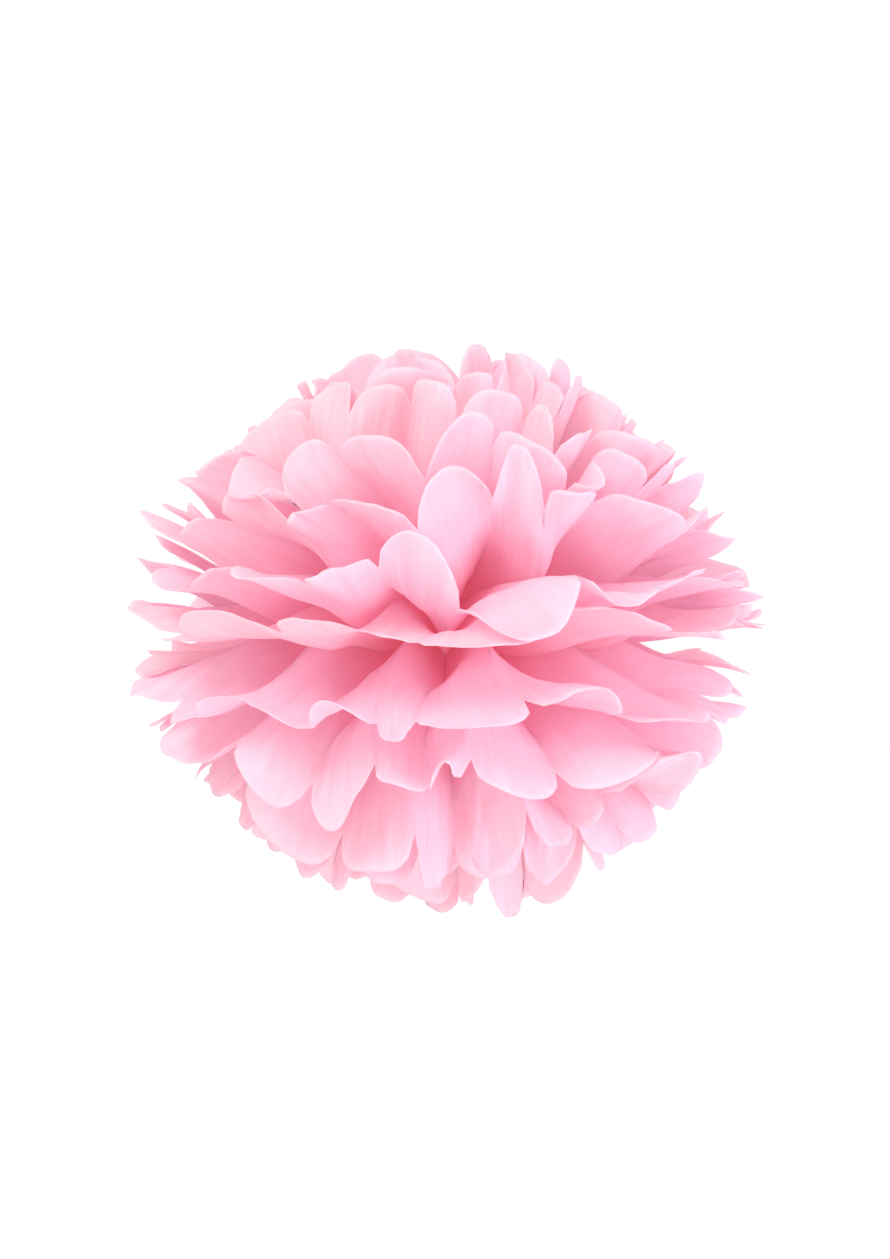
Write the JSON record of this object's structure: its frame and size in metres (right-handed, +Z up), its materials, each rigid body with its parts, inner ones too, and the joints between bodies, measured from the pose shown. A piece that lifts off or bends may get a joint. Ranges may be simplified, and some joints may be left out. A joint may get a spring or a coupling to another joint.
{
  "type": "tissue paper pom pom",
  "caption": "Hanging ball of pleated pink tissue paper sheets with rounded petal tips, tied at the waist by a wrapped wire with a small eye.",
  "frame": {"origin": "middle of the tied waist, where all the sheets cross", "axes": "+Z up along the wire's twist towards its hanging eye, -Y towards the viewer, X along the seams between the two halves"},
  "size_m": [0.3588, 0.337, 0.3075],
  "materials": {
    "sheet_01_tissue": "matt translucent tissue",
    "sheet_02_tissue": "matt translucent tissue",
    "sheet_03_tissue": "matt translucent tissue",
    "sheet_04_tissue": "matt translucent tissue",
    "sheet_05_tissue": "matt translucent tissue",
    "sheet_06_tissue": "matt translucent tissue",
    "sheet_07_tissue": "matt translucent tissue",
    "sheet_08_tissue": "matt translucent tissue",
    "sheet_09_tissue": "matt translucent tissue",
    "sheet_10_tissue": "matt translucent tissue",
    "sheet_11_tissue": "matt translucent tissue",
    "sheet_12_tissue": "matt translucent tissue",
    "wire_paper_wrap": "matt paper wrap over thin wire"
  },
  "bodies": {
    "root": {"sheet_01": "sheet_01_tissue", "sheet_02": "sheet_02_tissue", "sheet_03": "sheet_03_tissue", "sheet_04": "sheet_04_tissue", "sheet_05": "sheet_05_tissue", "sheet_06": "sheet_06_tissue", "sheet_07": "sheet_07_tissue", "sheet_08": "sheet_08_tissue", "sheet_09": "sheet_09_tissue", "sheet_10": "sheet_10_tissue", "sheet_11": "sheet_11_tissue", "sheet_12": "sheet_12_tissue", "tie_wire": "wire_paper_wrap"}
  },
  "joints": []
}
